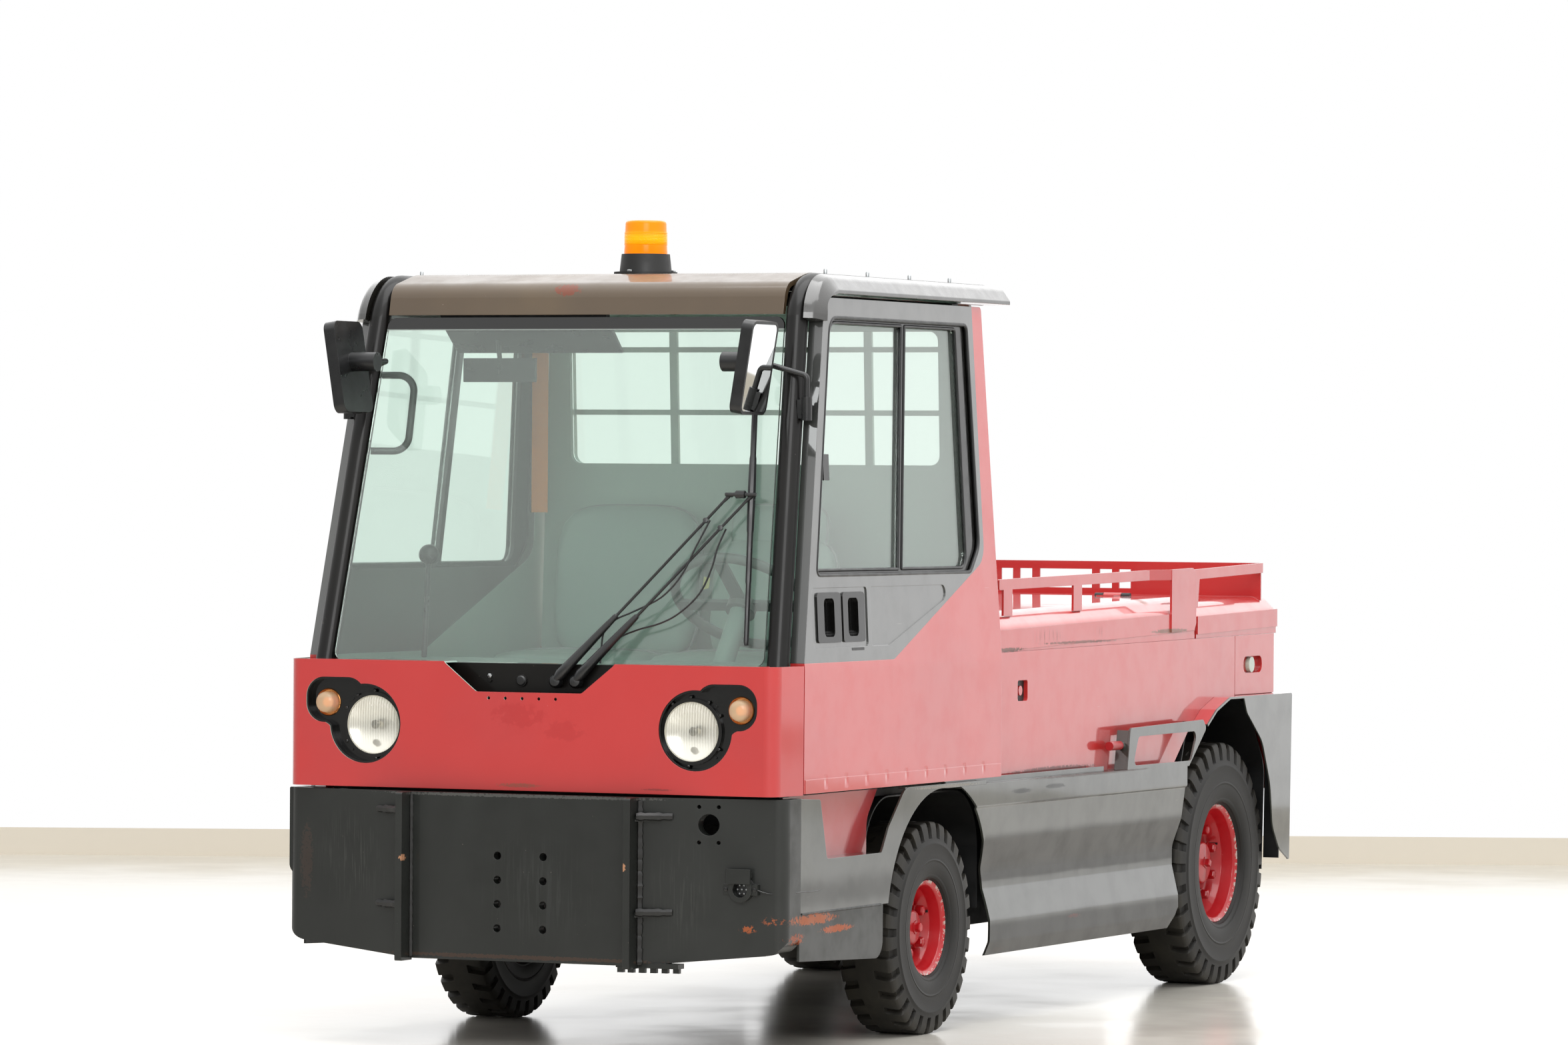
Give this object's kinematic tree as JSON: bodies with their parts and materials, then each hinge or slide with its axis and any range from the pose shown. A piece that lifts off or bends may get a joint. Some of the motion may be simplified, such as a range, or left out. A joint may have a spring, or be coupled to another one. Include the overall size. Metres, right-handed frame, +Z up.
{
  "type": "battery-electric airport baggage tow tractor",
  "caption": "Compact electric tow tractor with a glazed cab, sliding doors, low rear deck with lift-up lids, heavy front bumper and rear tow coupling.",
  "frame": {"origin": "on the floor, at the middle of the width and of the length", "axes": "+Z up, the front faces -Y, the driver's left side is +X"},
  "size_m": [1.3564, 3.682, 2.0513],
  "materials": {
    "amber_lens": "translucent amber plastic",
    "battery_steel": "acid-resistant coating",
    "black_paint": "satin black enamel",
    "black_plastic": "moulded black plastic",
    "bumper_paint": "satin blue-black enamel",
    "cab_glass": "clear green-tinted safety glass",
    "cast_housing": "painted casting",
    "chassis_paint": "satin black enamel, dusty",
    "dash_plastic": "grained dark grey plastic",
    "floor_rubber": "ribbed rubber mat",
    "grey_paint": "semi-gloss dark grey enamel",
    "interior_grey": "matt grey paint",
    "lamp_lens": "fluted clear glass over a bright reflector",
    "mirror_glass": "silvered glass",
    "pin_steel": "bright zinc-plated steel",
    "red_lens": "translucent red plastic",
    "red_paint": "gloss red enamel, scuffed",
    "red_plastic": "red rubber buffer",
    "red_rim": "gloss red enamel",
    "roof_paint": "semi-gloss brown-grey enamel",
    "seat_vinyl": "stitched dark vinyl",
    "tyre_rubber": "worn industrial rubber"
  },
  "bodies": {
    "chassis": {"battery": "battery_steel", "beacon_base": "black_plastic", "beacon_lens": "amber_lens", "body_sides": "red_paint", "cab_fittings": "black_plastic", "cab_floor": "floor_rubber", "cab_frame": "black_paint", "chassis_frame": "chassis_paint", "corner_panels": "red_paint", "cowl": "black_paint", "dashboard": "dash_plastic", "door_buffers": "red_plastic", "door_mirrors": "black_plastic", "drive_axle": "cast_housing", "front_axle": "chassis_paint", "front_bumper": "bumper_paint", "front_panel": "red_paint", "front_wings": "grey_paint", "headlamps": "lamp_lens", "indicators": "amber_lens", "lamp_bezels": "black_plastic", "lower_panels": "red_paint", "marker_lamps": "amber_lens", "mirror_glasses": "mirror_glass", "rear_mudguards": "grey_paint", "rear_panel": "red_paint", "rear_wall": "interior_grey", "rear_window": "cab_glass", "roof": "roof_paint", "roof_rails": "black_plastic", "seats": "seat_vinyl", "skirts": "grey_paint", "tail_lamps": "red_lens", "tow_coupling": "chassis_paint", "wheel_wells": "black_paint", "windscreen": "cab_glass", "wiper": "black_plastic"},
    "door_left": {"door_panel_left": "red_paint", "door_frame_left": "grey_paint", "door_trim_left": "black_plastic", "door_glass_left": "cab_glass"},
    "door_right": {"door_panel_right": "red_paint", "door_frame_right": "grey_paint", "door_trim_right": "black_plastic", "door_glass_right": "cab_glass"},
    "front_lid": {"front_lid": "red_paint"},
    "rear_lid": {"rear_lid": "red_paint"},
    "steering_wheel": {"steering_wheel": "black_plastic"},
    "knuckle_left": {"knuckle_left": "chassis_paint"},
    "knuckle_right": {"knuckle_right": "chassis_paint"},
    "wheel_front_left": {"rim_front_left": "red_rim", "tyre_front_left": "tyre_rubber"},
    "wheel_front_right": {"rim_front_right": "red_rim", "tyre_front_right": "tyre_rubber"},
    "wheel_rear_left": {"rim_rear_left": "red_rim", "tyre_rear_left": "tyre_rubber"},
    "wheel_rear_right": {"rim_rear_right": "red_rim", "tyre_rear_right": "tyre_rubber"},
    "tow_pin": {"tow_pin": "pin_steel"}
  },
  "joints": [
    {"name": "steering_wheel_turn", "type": "hinge", "parent": "chassis", "child": "steering_wheel", "pos_m": [0.3, -1.15, 1.095], "axis": [0, 0.62, 0.7846], "range_deg": [-396, 396]},
    {"name": "steer_left", "type": "hinge", "parent": "chassis", "child": "knuckle_left", "pos_m": [0.43, -0.755, 0.269], "axis": [0, 0, 1], "range_deg": [-36.5, 36.5]},
    {"name": "steer_right", "type": "hinge", "parent": "chassis", "child": "knuckle_right", "pos_m": [-0.43, -0.755, 0.269], "axis": [0, 0, 1], "range_deg": [-36.5, 36.5]},
    {"name": "wheel_front_left_spin", "type": "hinge", "parent": "knuckle_left", "child": "wheel_front_left", "pos_m": [0.573, -0.755, 0.269], "axis": [1, 0, 0], "continuous": true},
    {"name": "wheel_front_right_spin", "type": "hinge", "parent": "knuckle_right", "child": "wheel_front_right", "pos_m": [-0.573, -0.755, 0.269], "axis": [1, 0, 0], "continuous": true},
    {"name": "wheel_rear_left_spin", "type": "hinge", "parent": "chassis", "child": "wheel_rear_left", "pos_m": [0.56, 1.315, 0.337], "axis": [1, 0, 0], "continuous": true},
    {"name": "wheel_rear_right_spin", "type": "hinge", "parent": "chassis", "child": "wheel_rear_right", "pos_m": [-0.56, 1.315, 0.337], "axis": [1, 0, 0], "continuous": true},
    {"name": "door_left_slide", "type": "slide", "parent": "chassis", "child": "door_left", "axis": [0, 1, 0], "range_m": [0, 0.765]},
    {"name": "door_right_slide", "type": "slide", "parent": "chassis", "child": "door_right", "axis": [0, 1, 0], "range_m": [0, 0.765]},
    {"name": "front_lid_lift", "type": "hinge", "parent": "chassis", "child": "front_lid", "pos_m": [0.38, 1.141, 1.084], "axis": [-1, 0, 0], "range_deg": [0, 70]},
    {"name": "rear_lid_lift", "type": "hinge", "parent": "chassis", "child": "rear_lid", "pos_m": [0.34, 1.77, 0.966], "axis": [-1, 0, 0], "range_deg": [0, 70]},
    {"name": "tow_pin_lift", "type": "slide", "parent": "chassis", "child": "tow_pin", "axis": [0, 0, 1], "range_m": [0, 0.07]}
  ],
  "couplings": [
    {"joint": "steer_left", "follows": "steering_wheel_turn", "ratio": 0.090909},
    {"joint": "steer_right", "follows": "steering_wheel_turn", "ratio": 0.090909}
  ]
}
